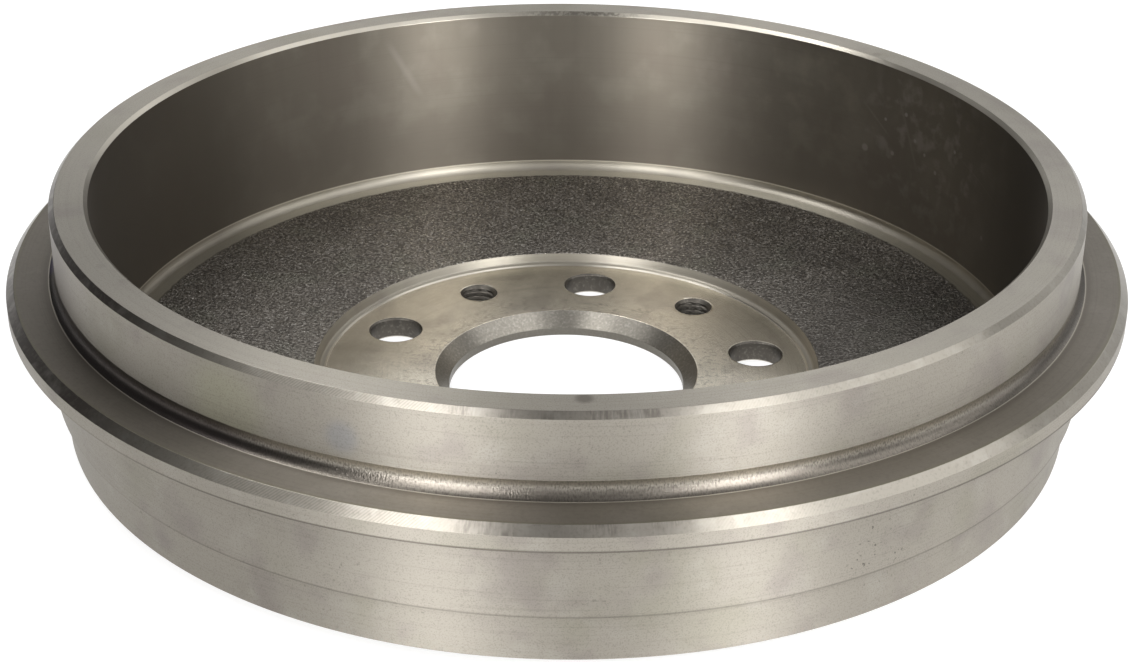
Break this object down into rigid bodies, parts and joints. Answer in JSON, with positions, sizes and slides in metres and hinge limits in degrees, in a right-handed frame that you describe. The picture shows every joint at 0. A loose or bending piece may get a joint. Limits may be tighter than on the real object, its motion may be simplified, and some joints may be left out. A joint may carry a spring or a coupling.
{
  "type": "brake drum",
  "caption": "Cast-iron brake drum: a shallow cup with a ribbed, machined wall and a flat hub with a centre bore, bolt holes and jack screw threads.",
  "frame": {"origin": "centre of the wheel face, the flat underside of the hub", "axes": "+Z along the axis of rotation, towards the open rim; +Y through one bolt hole, between the two jack screw holes"},
  "size_m": [0.2996, 0.2996, 0.068],
  "materials": {
    "cast_iron": "turned grey iron, with the web inside left as cast"
  },
  "bodies": {
    "root": {"brake_drum": "cast_iron"}
  },
  "joints": []
}
